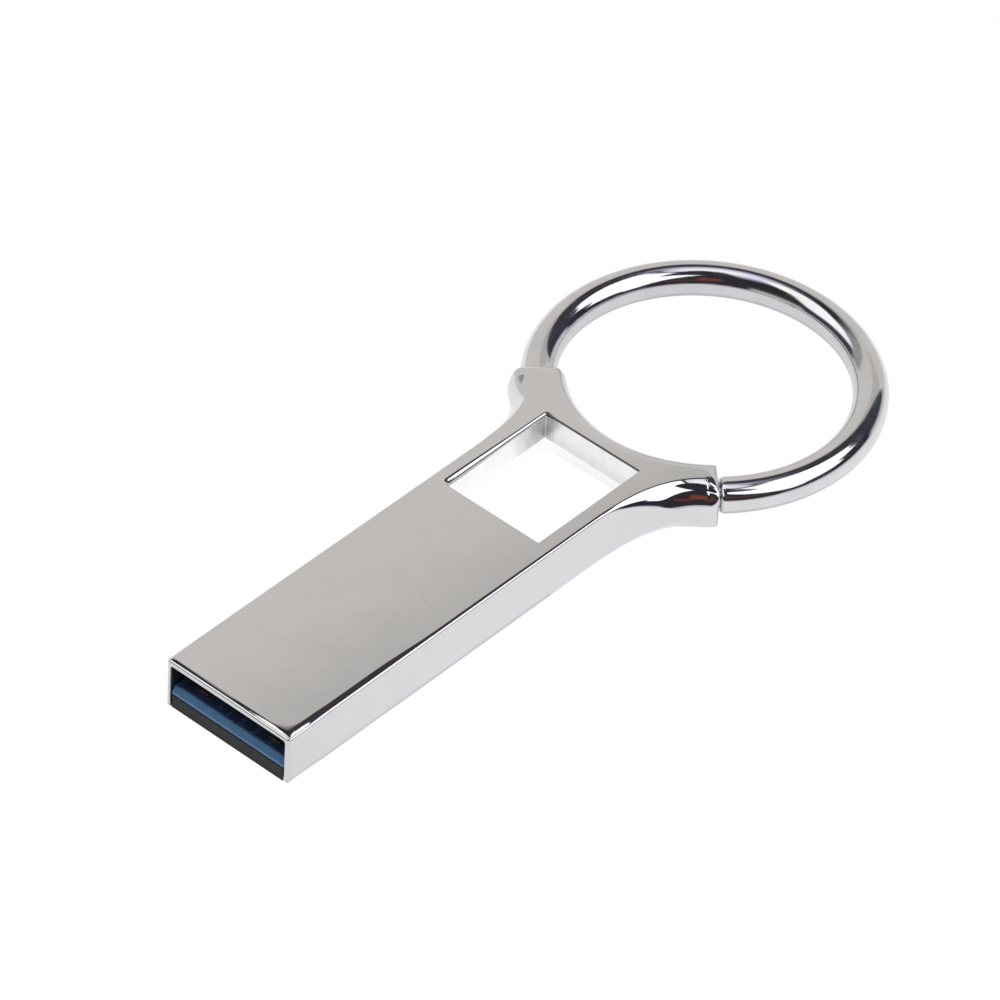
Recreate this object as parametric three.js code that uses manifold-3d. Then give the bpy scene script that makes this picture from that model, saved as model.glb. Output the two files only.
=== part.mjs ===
// USB flash drive: one zinc casting is plug shell, body, window frame and two arms, and a spring
// loaded key ring closes the loop between the arms. Millimetres, +Z up. The origin is under the
// middle of the bounding box: the plug's mouth faces -Y and the key ring points to +Y.
import * as THREE from 'three';
import { mergeVertices } from 'three/addons/utils/BufferGeometryUtils.js';
import Module from 'manifold-3d';

const wasm = await Module();
wasm.setup();

// ---- Driving dimensions -------------------------------------------------------------------
const LENGTH = 66.3;          // mouth to the far side of the ring
const BODY_WIDTH = 12;        // a USB type A plug is 12 x 4.5
const BODY_HEIGHT = 4.5;
const RING_RADIUS = 12.6;     // centreline of the key ring's wire
const WIRE_RADIUS = 1.38;
const WINDOW_WIDTH = 9.14;
const WINDOW_LENGTH = 11.15;
const WINDOW_START = -5;      // y of the window's edge nearest the mouth
const WINDOW_CORNER = 0.25;
const WINDOW_STEP = 2.15;     // below this height the window widens towards the underside
const WINDOW_FLARE = 1.05;    // how much wider each of its sides is at the underside
const ARM_OUTER_RADIUS = 15;  // widest line of the arms, round the ring's centre
const ARM_INNER_RADIUS = 10.45;
const FLAT_OUTER_RADIUS = 13.35; // edge of the flat top on the arms
const FLAT_INNER_RADIUS = 12.05;
const FLAT_INNER_MIDDLE = 12.3;  // the same edge at the middle of the hollow between the arms
const FLARE_RADIUS = 10;      // concave sweep from the straight flank to an arm
const ARM_END = -45;          // angle of an arm's end face round the ring's centre
const EDGE = 0.2;             // rounding of the body's long edges
const MOUTH_CORNER = 0.24;    // rounding of the upright corners at the mouth
const BOSS_CORNER = 0.75;     // rounding of the end of an arm
const BOSS_EDGE_HEIGHT = 0.8;
const BULGE_HEIGHT = 2.2;     // height of the rounding along an arm: nearly half the body
const FLAT_CORNER = 0.2;

const POCKET_WIDTH = 11.16;   // room for the electronics, open at the mouth
const POCKET_FLOOR = 0.5;
const POCKET_ROOF = 4;
const POCKET_DEPTH = 26.3;
const LIP_DEPTH = 1;          // how far the bottom wall is set back behind the carrier's lip

// The ring turns round its own centre: its tail runs deeper into the left arm against a spring,
// and its nose pin leaves the right arm.
const TAIL_END = 230;
const BUSH_END = 232;
const BORE_END = 247;
const BUSH_INNER = 1.44;
const BUSH_OUTER = 1.7;
const BORE_RADIUS = 1.45;
const FIT = 0.06;             // radial gap round the bush
const NOSE_GAP = 0.15;        // between the right arm's end face and the wire's shoulder
const SHOULDER = 0.45;        // rounding of the wire's shoulder
const PIN_RADIUS = 0.9;
const PIN_REACH = 0.8;        // how far the pin enters the right arm
const PIN_HOLD = 1.2;         // how far it is pressed into the wire
const PIN_GAP = 0.05;
const SOCKET_GAP = 0.15;
const SPRING_TURNS = 4;
const SPRING_MEAN_RADIUS = 1.08;
const SPRING_WIRE = 0.1;       // radius: the closed coils are 0.8 mm long

// Heights of the stack inside the pocket, from the tray to the contact pads.
const TRAY_BOTTOM = 0.55;
const TRAY_TOP = 0.85;
const RIB_TOP = 1.3;
const MOULDING_BOTTOM = 0.9;
const MOULDING_TOP = 1.55;
const BOARD_BOTTOM = 1.6;
const BOARD_TOP = 1.95;
const PAD_BOTTOM = 1.97;
const PAD_TOP = 2.03;
const FRAME_BOTTOM = 1.36;
const FRAME_TOP = 2.05;
const MODULE_WIDTH = 9.6;
const MODULE_FRONT = 0.7;     // depths are measured from the mouth
const MODULE_BACK = 25.5;
const FOAM_WIDTH = 8.8;       // the pad that wedges the module against the pocket's roof
const FOAM_DEPTHS = [13.2, 25];
const FOAM_GAP = 0.08;

// ---- Derived ------------------------------------------------------------------------------
const MOUTH_Y = -LENGTH / 2;
const RING_Y = LENGTH / 2 - RING_RADIUS - WIRE_RADIUS;
const MID_Z = BODY_HEIGHT / 2;
const HALF_WIDTH = BODY_WIDTH / 2;
const DEG = Math.PI / 180;
const arcDegrees = (length) => length / RING_RADIUS / DEG;

// ---- Materials ----------------------------------------------------------------------------
const finish = (color, roughness, metalness = 0) =>
  new THREE.MeshStandardMaterial({ color, roughness, metalness });
const CHROME = () => finish(0xd9d9dc, 0.08, 1);
const BLACK_PLASTIC = () => finish(0x1d1d1e, 0.35);
const BLUE_PLASTIC = () => finish(0x2f66a0, 0.4);
const GOLD = () => finish(0xd9a441, 0.25, 1);
const EPOXY = () => finish(0x141414, 0.6);
const SILICON = () => finish(0x4b4f58, 0.2, 0.6);
const SOLDER_MASK = () => finish(0x14502e, 0.45);
const STEEL = () => finish(0xb9bcc0, 0.3, 1);
const CERAMIC = () => finish(0x9b7a55, 0.6);
const FOAM = () => finish(0x35363a, 0.95);
const NYLON = () => finish(0xe6e4de, 0.5);

// ---- Solids -------------------------------------------------------------------------------
function toSolid(geometry) {
  const bare = geometry.clone();
  bare.deleteAttribute('normal');
  bare.deleteAttribute('uv');
  const merged = mergeVertices(bare, 1e-4);
  return new wasm.Manifold(new wasm.Mesh({
    numProp: 3,
    vertProperties: new Float32Array(merged.attributes.position.array),
    triVerts: new Uint32Array(merged.index.array),
  }));
}

function toGeometry(solid) {
  const mesh = solid.getMesh();
  const geometry = new THREE.BufferGeometry();
  geometry.setAttribute('position', new THREE.BufferAttribute(mesh.vertProperties, 3));
  geometry.setIndex(new THREE.BufferAttribute(mesh.triVerts, 1));
  geometry.computeVertexNormals();
  return geometry;
}

// A box given by its two corners; y is a depth behind the mouth.
function depthBox([x0, x1], [d0, d1], [z0, z1]) {
  const geometry = new THREE.BoxGeometry(x1 - x0, d1 - d0, z1 - z0);
  geometry.translate((x0 + x1) / 2, MOUTH_Y + (d0 + d1) / 2, (z0 + z1) / 2);
  return geometry;
}

const centredBox = (width, depths, heights) => depthBox([-width / 2, width / 2], depths, heights);

// A flat side view, as [depth, z] points, carried across from x0 to x1.
function extrudeAcross(section, [x0, x1]) {
  const shape = new THREE.Shape(section.map(([depth, z]) => new THREE.Vector2(depth, z)));
  const geometry = new THREE.ExtrudeGeometry(shape, { depth: x1 - x0, bevelEnabled: false });
  geometry.applyMatrix4(new THREE.Matrix4().makeBasis(
    new THREE.Vector3(0, 1, 0),
    new THREE.Vector3(0, 0, 1),
    new THREE.Vector3(1, 0, 0),
  ));
  geometry.translate(x0, MOUTH_Y, 0);
  return geometry;
}

// Joins rings of equal count into one closed skin. Each ring runs anticlockwise round the
// direction from the first ring to the last, and capFaces closes both ends.
function loft(rings, capFaces) {
  const count = rings[0].length;
  const last = (rings.length - 1) * count;
  const index = [];
  for (let i = 0; i < rings.length - 1; i++) {
    for (let j = 0; j < count; j++) {
      const a = i * count + j;
      const b = i * count + (j + 1) % count;
      index.push(a, b, b + count, a, b + count, a + count);
    }
  }
  for (const [a, b, c] of capFaces) {
    index.push(c, b, a);
    index.push(last + a, last + b, last + c);
  }
  const geometry = new THREE.BufferGeometry().setFromPoints(rings.flat());
  geometry.setIndex(index);
  geometry.computeVertexNormals();
  return geometry;
}

const fan = (count) => Array.from({ length: count - 2 }, (_, i) => [0, i + 1, i + 2]);

// A point beside the ring's centreline: angle round the ring's centre, then offsets outward
// and up.
function ringPoint(degrees, outward, up) {
  const radius = RING_RADIUS + outward;
  return new THREE.Vector3(
    radius * Math.cos(degrees * DEG),
    RING_Y + radius * Math.sin(degrees * DEG),
    MID_Z + up,
  );
}

// A round bar bent along the ring's centreline. Stations are [angle, radius].
function bentBar(stations, sides) {
  const rings = stations.map(([degrees, radius]) => Array.from({ length: sides }, (_, k) => {
    const turn = 2 * Math.PI * k / sides;
    return ringPoint(degrees, radius * Math.sin(turn), radius * Math.cos(turn));
  }));
  return loft(rings, fan(sides));
}

function evenStations(from, to, radius, step = 2) {
  const steps = Math.ceil((to - from) / step);
  return Array.from({ length: steps + 1 }, (_, i) => [from + (to - from) * i / steps, radius]);
}

// ---- Shell --------------------------------------------------------------------------------
// The casting is described by pairs of points: one on its widest outline, one on the edge of
// its flat top, and the height of the rounding that joins them.
const smooth = (from, to, value) => THREE.MathUtils.smoothstep(value, from, to);

function station(widest, flat, height) {
  return { widest: new THREE.Vector2(...widest), flat: new THREE.Vector2(...flat), height };
}

function mouthCorner() {
  const centre = [HALF_WIDTH - MOUTH_CORNER, MOUTH_Y + MOUTH_CORNER];
  return [-90, -60, -30, 0].map((degrees) => {
    const [c, s] = [Math.cos(degrees * DEG), Math.sin(degrees * DEG)];
    const at = (radius) => [centre[0] + radius * c, centre[1] + radius * s];
    return station(at(MOUTH_CORNER), at(MOUTH_CORNER - EDGE), EDGE);
  });
}

// Where the rounding grows from the body's edge to the arm's full bulge, in millimetres
// along the flare.
const BULGE_FROM = 0.6;
const BULGE_TO = 9.7;
const bulgeAt = (travel) => ({
  width: EDGE + (ARM_OUTER_RADIUS - FLAT_OUTER_RADIUS - EDGE) * smooth(BULGE_FROM, BULGE_TO, travel),
  height: EDGE + (BULGE_HEIGHT - EDGE) * smooth(BULGE_FROM, BULGE_TO, travel),
});

function flareAndArm() {
  const centreX = HALF_WIDTH + FLARE_RADIUS;
  const reach = ARM_OUTER_RADIUS + FLARE_RADIUS;
  const centreY = RING_Y - Math.sqrt(reach ** 2 - centreX ** 2);
  const sweep = Math.acos(centreX / reach);
  const stations = [];
  const flareSteps = 9;
  for (let i = 0; i <= flareSteps; i++) {
    const angle = sweep * i / flareSteps;
    const bulge = bulgeAt(FLARE_RADIUS * angle);
    const at = (radius) => [centreX - radius * Math.cos(angle), centreY + radius * Math.sin(angle)];
    stations.push(station(at(FLARE_RADIUS), at(FLARE_RADIUS + bulge.width), bulge.height));
  }
  const armStart = -sweep;
  const armStop = ARM_END * DEG - BOSS_CORNER / ARM_OUTER_RADIUS;
  const flatStop = ARM_END * DEG - (BOSS_CORNER + FLAT_CORNER) / FLAT_OUTER_RADIUS;
  const armSteps = 2;
  for (let i = 1; i < armSteps; i++) {
    const angle = armStart + (armStop - armStart) * i / armSteps;
    const flatAngle = armStart + (flatStop - armStart) * i / armSteps;
    const bulge = bulgeAt(FLARE_RADIUS * sweep + ARM_OUTER_RADIUS * (angle - armStart));
    stations.push(station(
      polar(ARM_OUTER_RADIUS, angle),
      polar(ARM_OUTER_RADIUS - bulge.width, flatAngle),
      bulge.height,
    ));
  }
  return stations;
}

const polar = (radius, angle) => [radius * Math.cos(angle), RING_Y + radius * Math.sin(angle)];

// A point given in the end face's own directions: distance from the ring's centre along the
// face, and distance past the face along the ring.
function atEndFace(radial, past) {
  const [c, s] = [Math.cos(ARM_END * DEG), Math.sin(ARM_END * DEG)];
  return [radial * c - past * s, RING_Y + radial * s + past * c];
}

// The arm's end: two rounded corners, with the end face between them. side is 1 for the corner
// away from the ring's centre and -1 for the one towards it.
function bossCorner(side) {
  const corner = (limit, inset, radius) => {
    const past = -inset - radius;
    const radial = Math.sqrt((limit - side * radius) ** 2 - past ** 2);
    return (angle) => atEndFace(radial + side * radius * Math.cos(angle), past + radius * Math.sin(angle));
  };
  const widest = corner(side > 0 ? ARM_OUTER_RADIUS : ARM_INNER_RADIUS, 0, BOSS_CORNER);
  const flat = corner(side > 0 ? FLAT_OUTER_RADIUS : FLAT_INNER_RADIUS, BOSS_CORNER, FLAT_CORNER);
  const steps = [0, 1, 2, 3].map((i) => i / 3);
  const ordered = side > 0 ? steps : steps.reverse();
  return ordered.map((share) => station(
    widest(share * Math.PI / 2),
    flat(share * Math.PI / 2),
    BULGE_HEIGHT + (BOSS_EDGE_HEIGHT - BULGE_HEIGHT) * smooth(0, 1, share),
  ));
}

// The hollow that the ring's circle leaves between the arms, from one arm to the middle.
function hollow() {
  const steps = 6;
  const start = ARM_END * DEG - BOSS_CORNER / ARM_INNER_RADIUS;
  const flatStart = ARM_END * DEG - (BOSS_CORNER + FLAT_CORNER) / FLAT_INNER_RADIUS;
  const end = -Math.PI / 2;
  return Array.from({ length: steps }, (_, i) => {
    const share = (i + 1) / steps;
    const flatRadius = FLAT_INNER_RADIUS + (FLAT_INNER_MIDDLE - FLAT_INNER_RADIUS) * smooth(0, 1, share);
    return station(
      polar(ARM_INNER_RADIUS, start + (end - start) * share),
      polar(flatRadius, flatStart + (end - flatStart) * share),
      BULGE_HEIGHT,
    );
  });
}

function mirrored(stations) {
  return stations.map(({ widest, flat, height }) =>
    station([-widest.x, widest.y], [-flat.x, flat.y], height)).reverse();
}

function castingSkin() {
  const half = [...mouthCorner(), ...flareAndArm(), ...bossCorner(1), ...bossCorner(-1), ...hollow()];
  const outline = [...half, ...mirrored(half.slice(0, -1))];
  const turns = [0, 1, 2, 3, 4].map((i) => i / 4 * Math.PI / 2);
  const level = (turn, upper) => outline.map(({ widest, flat, height }) => {
    const point = widest.clone().lerp(flat, 1 - Math.cos(turn));
    const drop = height * (1 - Math.sin(turn));
    return new THREE.Vector3(point.x, point.y, upper ? BODY_HEIGHT - drop : drop);
  });
  const rings = [
    ...turns.toReversed().map((turn) => level(turn, false)),
    ...turns.map((turn) => level(turn, true)),
  ];
  const cap = THREE.ShapeUtils.triangulateShape(outline.map(({ flat }) => flat), []);
  return loft(rings, cap);
}

// The window's outline, grown by an offset, as a ring of points at one height.
function windowRing(offset, z) {
  const radius = WINDOW_CORNER + offset;
  const x = WINDOW_WIDTH / 2 - WINDOW_CORNER;
  const y = WINDOW_LENGTH / 2 - WINDOW_CORNER;
  const middle = WINDOW_START + WINDOW_LENGTH / 2;
  const corners = [[x, -y, -90], [x, y, 0], [-x, y, 90], [-x, -y, 180]];
  const shares = [0, 1, 2, 3].map((i) => i / 3);
  return corners.flatMap(([cx, cy, start]) => shares.map((share) => {
    const angle = (start + 90 * share) * DEG;
    return new THREE.Vector3(cx + radius * Math.cos(angle), middle + cy + radius * Math.sin(angle), z);
  }));
}

function windowCutter() {
  const below = -1;
  const growth = WINDOW_FLARE * (WINDOW_STEP - below) / WINDOW_STEP;
  const rings = [windowRing(growth, below), windowRing(0, WINDOW_STEP), windowRing(0, BODY_HEIGHT + 1)];
  return loft(rings, fan(rings[0].length));
}

const BORE_SIDES = 16;
const WIRE_SIDES = 12;
const FAR_END = 180 - ARM_END;   // angle of the left arm's end face

function shell() {
  const socketEnd = ARM_END - arcDegrees(PIN_REACH + 2 * SOCKET_GAP);
  const cutters = [
    windowCutter(),
    centredBox(POCKET_WIDTH, [-1, POCKET_DEPTH], [POCKET_FLOOR, POCKET_ROOF]),
    centredBox(POCKET_WIDTH, [-1, LIP_DEPTH], [-1, POCKET_FLOOR + 0.1]),
    bentBar(evenStations(FAR_END - 4, BUSH_END + 0.5, BUSH_OUTER + FIT), BORE_SIDES),
    bentBar(evenStations(BUSH_END - 1, BORE_END, BORE_RADIUS), BORE_SIDES),
    bentBar(evenStations(socketEnd, ARM_END + 4, PIN_RADIUS + SOCKET_GAP), BORE_SIDES),
  ];
  const whole = toSolid(castingSkin());
  return toGeometry(cutters.reduce((solid, cutter) => solid.subtract(toSolid(cutter)), whole));
}

// ---- Key ring and its guides --------------------------------------------------------------
function keyRing() {
  const nose = ARM_END + arcDegrees(NOSE_GAP);
  const shoulder = [0, 30, 60, 90].map((degrees) => [
    nose + arcDegrees(SHOULDER * (1 - Math.cos(degrees * DEG))),
    WIRE_RADIUS - SHOULDER * 0.6 * (1 - Math.sin(degrees * DEG)),
  ]);
  const step = 7.5;
  const bend = [];
  for (let degrees = ARM_END + step; degrees <= FAR_END; degrees += step) {
    bend.push([degrees, WIRE_RADIUS]);
  }
  const chamfer = 0.2;
  const tail = [
    [TAIL_END - arcDegrees(chamfer), WIRE_RADIUS],
    [TAIL_END, WIRE_RADIUS - chamfer],
  ];
  const wire = toSolid(bentBar([...shoulder, ...bend, ...tail], WIRE_SIDES));
  const holeEnd = nose + arcDegrees(PIN_HOLD + PIN_GAP);
  const hole = bentBar(evenStations(nose - 2, holeEnd, PIN_RADIUS + PIN_GAP), WIRE_SIDES);
  return toGeometry(wire.subtract(toSolid(hole)));
}

function latchPin() {
  const tip = ARM_END - arcDegrees(PIN_REACH);
  const root = ARM_END + arcDegrees(NOSE_GAP + PIN_HOLD);
  const chamfer = 0.2;
  return bentBar([
    [tip, PIN_RADIUS - chamfer],
    [tip + arcDegrees(chamfer), PIN_RADIUS],
    [root, PIN_RADIUS],
  ], WIRE_SIDES);
}

function guideBush() {
  const flush = FAR_END + arcDegrees(0.02);
  const outer = toSolid(bentBar(evenStations(flush, BUSH_END, BUSH_OUTER), BORE_SIDES));
  const inner = toSolid(bentBar(evenStations(FAR_END - 2, BUSH_END + 2, BUSH_INNER), BORE_SIDES));
  return toGeometry(outer.subtract(inner));
}

// The return spring's centreline: a helix wound round the ring's own circle.
class SpringPath extends THREE.Curve {
  getPoint(t) {
    const clearance = arcDegrees(2 * SPRING_WIRE);
    const degrees = THREE.MathUtils.lerp(TAIL_END + clearance, BORE_END - clearance, t);
    const turn = 2 * Math.PI * SPRING_TURNS * t;
    return ringPoint(degrees, SPRING_MEAN_RADIUS * Math.sin(turn), SPRING_MEAN_RADIUS * Math.cos(turn));
  }
}

function returnSpring() {
  const section = new THREE.Shape().absarc(0, 0, SPRING_WIRE, 0, 2 * Math.PI);
  return new THREE.ExtrudeGeometry(section, {
    steps: 12 * SPRING_TURNS,
    extrudePath: new SpringPath(),
    curveSegments: 6,
    bevelEnabled: false,
  });
}

// ---- Plug and memory module ---------------------------------------------------------------
function carrier() {
  const ribWidth = 0.6;
  const trayWidth = POCKET_WIDTH - 0.2;
  const trayDepths = [LIP_DEPTH - 0.1, MODULE_BACK + 0.3];
  const lipFront = 0.05;
  const parts = [
    centredBox(trayWidth, [lipFront, LIP_DEPTH - 0.05], [0.06, TRAY_TOP]),
    centredBox(trayWidth, [lipFront, MODULE_FRONT - 0.1], [TRAY_TOP - 0.1, RIB_TOP]),
    centredBox(trayWidth, trayDepths, [TRAY_BOTTOM, TRAY_TOP]),
    depthBox([trayWidth / 2 - ribWidth, trayWidth / 2], trayDepths, [TRAY_TOP - 0.1, RIB_TOP]),
    depthBox([-trayWidth / 2, ribWidth - trayWidth / 2], trayDepths, [TRAY_TOP - 0.1, RIB_TOP]),
  ].map(toSolid);
  return toGeometry(parts.reduce((solid, part) => solid.add(part)));
}

// Everything that the moulding holds, as [name, x range, depth range, height, material].
const CHIP_TOP = 1.5;
const CHIPS = [
  ['controller_die', [-1.6, 1.6], [5.6, 8.8], 0.25, SILICON],
  ['flash_die', [-3.7, 3.7], [12, 21.6], 0.35, SILICON],
  ['crystal', [2.4, 4], [6.6, 8.6], 0.4, STEEL],
  ['decoupling_capacitor_front', [-3.6, -2.6], [6, 6.5], 0.4, CERAMIC],
  ['decoupling_capacitor_rear', [-3.6, -2.6], [7.6, 8.1], 0.4, CERAMIC],
];

const grow = ([low, high], by) => [low - by, high + by];

function moduleMoulding() {
  const depths = [MODULE_FRONT, MODULE_BACK];
  const block = toSolid(centredBox(MODULE_WIDTH, depths, [MOULDING_BOTTOM, MOULDING_TOP]));
  const gap = 0.08;
  return toGeometry(CHIPS.reduce((solid, [, xs, depths, height]) => {
    const pocket = depthBox(grow(xs, gap), grow(depths, gap), [CHIP_TOP - height - gap, BOARD_BOTTOM]);
    return solid.subtract(toSolid(pocket));
  }, block));
}

// The blue frame round the contacts: a front bar with a lead-in chamfer, two rails, and a rear
// bridge whose comb slots let the five spring contacts through.
const FRAME_WIDTH = 11;
const RAIL_WIDTH = 0.6;
const CHAMFER_BOTTOM = 1.58;
const CHAMFER_DEPTH = 0.38;
const SPRING_CONTACT_XS = [-4, -2, 0, 2, 4];
const SPRING_CONTACT_WIDTH = 0.5;
const BRIDGE_DEPTHS = [9.6, 12];
const BRIDGE_TOP = 2.95;

function contactFrame() {
  const front = 0.06;
  const barBack = MODULE_FRONT - 0.1;
  const bridgeBack = BRIDGE_DEPTHS[1];
  const side = extrudeAcross([
    [front, FRAME_BOTTOM],
    [bridgeBack, FRAME_BOTTOM],
    [bridgeBack, FRAME_TOP],
    [CHAMFER_DEPTH, FRAME_TOP],
    [front, CHAMFER_BOTTOM],
  ], [-FRAME_WIDTH / 2, FRAME_WIDTH / 2]);
  const inside = FRAME_WIDTH - 2 * RAIL_WIDTH;
  const slotWidth = 0.8;
  const slotTop = 2.45;
  const rim = toSolid(side)
    .subtract(toSolid(centredBox(inside, [barBack, bridgeBack + 1], [FRAME_BOTTOM - 1, BODY_HEIGHT])));
  const bridge = toSolid(centredBox(FRAME_WIDTH, BRIDGE_DEPTHS, [FRAME_TOP - 0.1, BRIDGE_TOP]));
  return toGeometry(SPRING_CONTACT_XS.reduce((solid, centre) => solid.subtract(toSolid(depthBox(
    grow([centre, centre], slotWidth / 2), grow(BRIDGE_DEPTHS, 1), [BOARD_TOP, slotTop],
  ))), rim.add(bridge)));
}

// A leaf of strip: soldered flat at the back, bent up to a rounded contact point at the front.
function springContact(centre) {
  const thickness = 0.14;
  const leaf = [[11.7, 2.07], [9.5, 2.07], [8.7, 2.4], [8.2, 2.58], [7.8, 2.58], [7.4, 2.4]];
  const above = leaf.map(([depth, z]) => [depth, z + thickness / 2]);
  const below = leaf.map(([depth, z]) => [depth, z - thickness / 2]).reverse();
  return extrudeAcross([...above, ...below], grow([centre, centre], SPRING_CONTACT_WIDTH / 2));
}

// The four flat contacts of the older pin set: the outer, power pair starts nearer the mouth.
const PAD_WIDTH = 1;
const PAD_BACK = 7;
const PADS = [
  ['contact_ground', -3.5, 1.2],
  ['contact_data_plus', -1, 2.1],
  ['contact_data_minus', 1, 2.1],
  ['contact_vbus', 3.5, 1.2],
];
const SPRING_CONTACT_NAMES = [
  'spring_contact_tx_plus',
  'spring_contact_tx_minus',
  'spring_contact_drain',
  'spring_contact_rx_plus',
  'spring_contact_rx_minus',
];

// ---- Assembly -----------------------------------------------------------------------------
const drive = new THREE.Group();
const ring = new THREE.Group();

function place(group, name, geometry, material) {
  const mesh = new THREE.Mesh(geometry, material);
  mesh.name = name;
  group.add(mesh);
}

place(drive, 'shell', shell(), CHROME());
place(drive, 'guide_bush', guideBush(), NYLON());
place(drive, 'return_spring', returnSpring(), STEEL());
place(drive, 'carrier', carrier(), BLACK_PLASTIC());
place(drive, 'module_moulding', moduleMoulding(), EPOXY());
place(drive, 'circuit_board',
  centredBox(MODULE_WIDTH, [MODULE_FRONT, MODULE_BACK], [BOARD_BOTTOM, BOARD_TOP]), SOLDER_MASK());
place(drive, 'contact_frame', contactFrame(), BLUE_PLASTIC());
place(drive, 'adhesive_pad',
  centredBox(FOAM_WIDTH, FOAM_DEPTHS, [BOARD_TOP + FOAM_GAP, POCKET_ROOF - FOAM_GAP]), FOAM());
for (const [name, xs, depths, height, material] of CHIPS) {
  place(drive, name, depthBox(xs, depths, [CHIP_TOP - height, CHIP_TOP]), material());
}
for (const [name, centre, front] of PADS) {
  const xs = grow([centre, centre], PAD_WIDTH / 2);
  place(drive, name, depthBox(xs, [front, PAD_BACK], [PAD_BOTTOM, PAD_TOP]), GOLD());
}
SPRING_CONTACT_NAMES.forEach((name, i) => {
  place(drive, name, springContact(SPRING_CONTACT_XS[i]), GOLD());
});
place(ring, 'key_ring', keyRing(), CHROME());
place(ring, 'latch_pin', latchPin(), STEEL());

const flashDrive = new THREE.Group();
flashDrive.add(drive, ring);
export default flashDrive;
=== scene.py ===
"""Looks of the USB flash drive: polished chrome casting, sprung key ring, black and blue plug.

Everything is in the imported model's frame. Shapes are worked out in millimetres and turned into
metres when a mesh is made.
"""
import math
from collections import namedtuple

import bmesh
import bpy
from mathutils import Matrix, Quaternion, Vector
from mathutils.bvhtree import BVHTree
from mathutils.interpolate import poly_3d_calc


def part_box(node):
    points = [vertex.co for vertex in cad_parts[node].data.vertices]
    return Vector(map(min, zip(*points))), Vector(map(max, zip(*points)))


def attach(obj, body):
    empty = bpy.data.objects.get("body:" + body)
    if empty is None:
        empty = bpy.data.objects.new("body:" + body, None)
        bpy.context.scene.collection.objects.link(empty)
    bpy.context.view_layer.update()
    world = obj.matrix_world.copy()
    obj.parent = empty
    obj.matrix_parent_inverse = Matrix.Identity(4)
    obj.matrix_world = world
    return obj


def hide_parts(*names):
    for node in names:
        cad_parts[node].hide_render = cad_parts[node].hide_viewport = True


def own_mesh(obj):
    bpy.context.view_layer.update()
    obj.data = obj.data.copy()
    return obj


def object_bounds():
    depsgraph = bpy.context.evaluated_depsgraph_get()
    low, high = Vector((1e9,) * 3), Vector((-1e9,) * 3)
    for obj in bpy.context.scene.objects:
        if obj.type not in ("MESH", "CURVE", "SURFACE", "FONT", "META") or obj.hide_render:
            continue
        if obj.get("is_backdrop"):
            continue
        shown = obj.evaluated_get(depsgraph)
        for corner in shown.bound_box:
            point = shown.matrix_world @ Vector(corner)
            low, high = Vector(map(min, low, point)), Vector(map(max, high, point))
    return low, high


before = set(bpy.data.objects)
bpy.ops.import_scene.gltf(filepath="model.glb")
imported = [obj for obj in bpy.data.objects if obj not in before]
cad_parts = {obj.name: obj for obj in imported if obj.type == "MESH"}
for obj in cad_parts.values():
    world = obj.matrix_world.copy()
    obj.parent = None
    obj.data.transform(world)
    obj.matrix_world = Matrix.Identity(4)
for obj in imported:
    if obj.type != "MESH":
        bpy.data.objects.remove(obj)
CAD_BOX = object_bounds()

# ---- Dimensions ---------------------------
MM = 0.001
UP = Vector((0, 0, 1))


def box_mm(node):
    """A CAD node's lowest and highest corners in millimetres."""
    low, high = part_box(node)
    return low / MM, high / MM


SHELL_LOW, SHELL_HIGH = box_mm("shell")
RING_LOW, RING_HIGH = box_mm("key_ring")
MOUTH_Y = SHELL_LOW.y
BODY_HEIGHT = SHELL_HIGH.z
MID_Z = BODY_HEIGHT / 2
HALF_WIDTH = 6.0
WIRE_RADIUS = (RING_HIGH.z - RING_LOW.z) / 2
RING_RADIUS = RING_HIGH.x - WIRE_RADIUS
RING_Y = RING_HIGH.y - WIRE_RADIUS - RING_RADIUS

# The casting, as the CAD part has it.
ARM_OUTER_RADIUS = 15.0
ARM_INNER_RADIUS = 10.45
FLAT_OUTER_RADIUS = 13.35
FLAT_INNER_RADIUS = 12.05
FLAT_INNER_MIDDLE = 12.3
FLARE_RADIUS = 10.0
ARM_END = -45.0               # angles are round the ring's centre, in degrees from +X
FAR_END = 180 - ARM_END
ARM_END_TURN = math.radians(ARM_END)
BULGE_HEIGHT = 2.2
BOSS_CORNER = 0.75
BOSS_EDGE_HEIGHT = 0.8
FLAT_CORNER = 0.25
FLAT_INNER_CORNER = 0.5
MOUTH_CORNER = 0.24
WINDOW_HALF_WIDTH = 4.57
WINDOW_FRONT, WINDOW_BACK = -5.0, 6.15
WINDOW_CORNER = 0.08
WINDOW_NEAR_LEFT_CORNER = 0.5
WINDOW_STEP = 2.15
WINDOW_FLARE = 1.05
POCKET_HALF_WIDTH = 5.58
POCKET_FLOOR, POCKET_ROOF = 0.5, 4.0
POCKET_DEPTH = 26.3
LIP_DEPTH = 1.0

# Lengths along the flare: where the edge's rounding swells to the arm's, and where the polishing
# flattened it into a facet. The facet is a share, from 0 for round to 1 for flat.
BULGE_FROM, BULGE_TO = 0.6, 9.7
FACET, FACET_STARTS, FACET_ENDS = 0.6, (1.0, 2.8), (6.0, 9.3)

# The sliding ring and what guides it.
TAIL_END, BUSH_END, BORE_END = 230.0, 232.0, 247.0
BUSH_INNER, BUSH_OUTER = 1.44, 1.7
BORE_RADIUS = 1.45
FIT = 0.06
NOSE_GAP = 0.15
SHOULDER, SHOULDER_DEPTH = 0.45, 0.27    # the nose's rounding, along the wire and across it
PIN_RADIUS = 0.9
PIN_REACH, PIN_HOLD, PIN_GAP = 0.8, 1.2, 0.05
SOCKET_GAP = 0.15
SPRING_TURNS = 4
SPRING_RADIUS = 1.08
SPRING_WIRE = 0.1

# Polished edges: radius of the small rounding, and the soft roll-off that polishing leaves
# between it and the flat top.
EDGE = 0.18
FRONT_ROLL = 0.26
FRONT_SLOPE = 7.0
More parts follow.
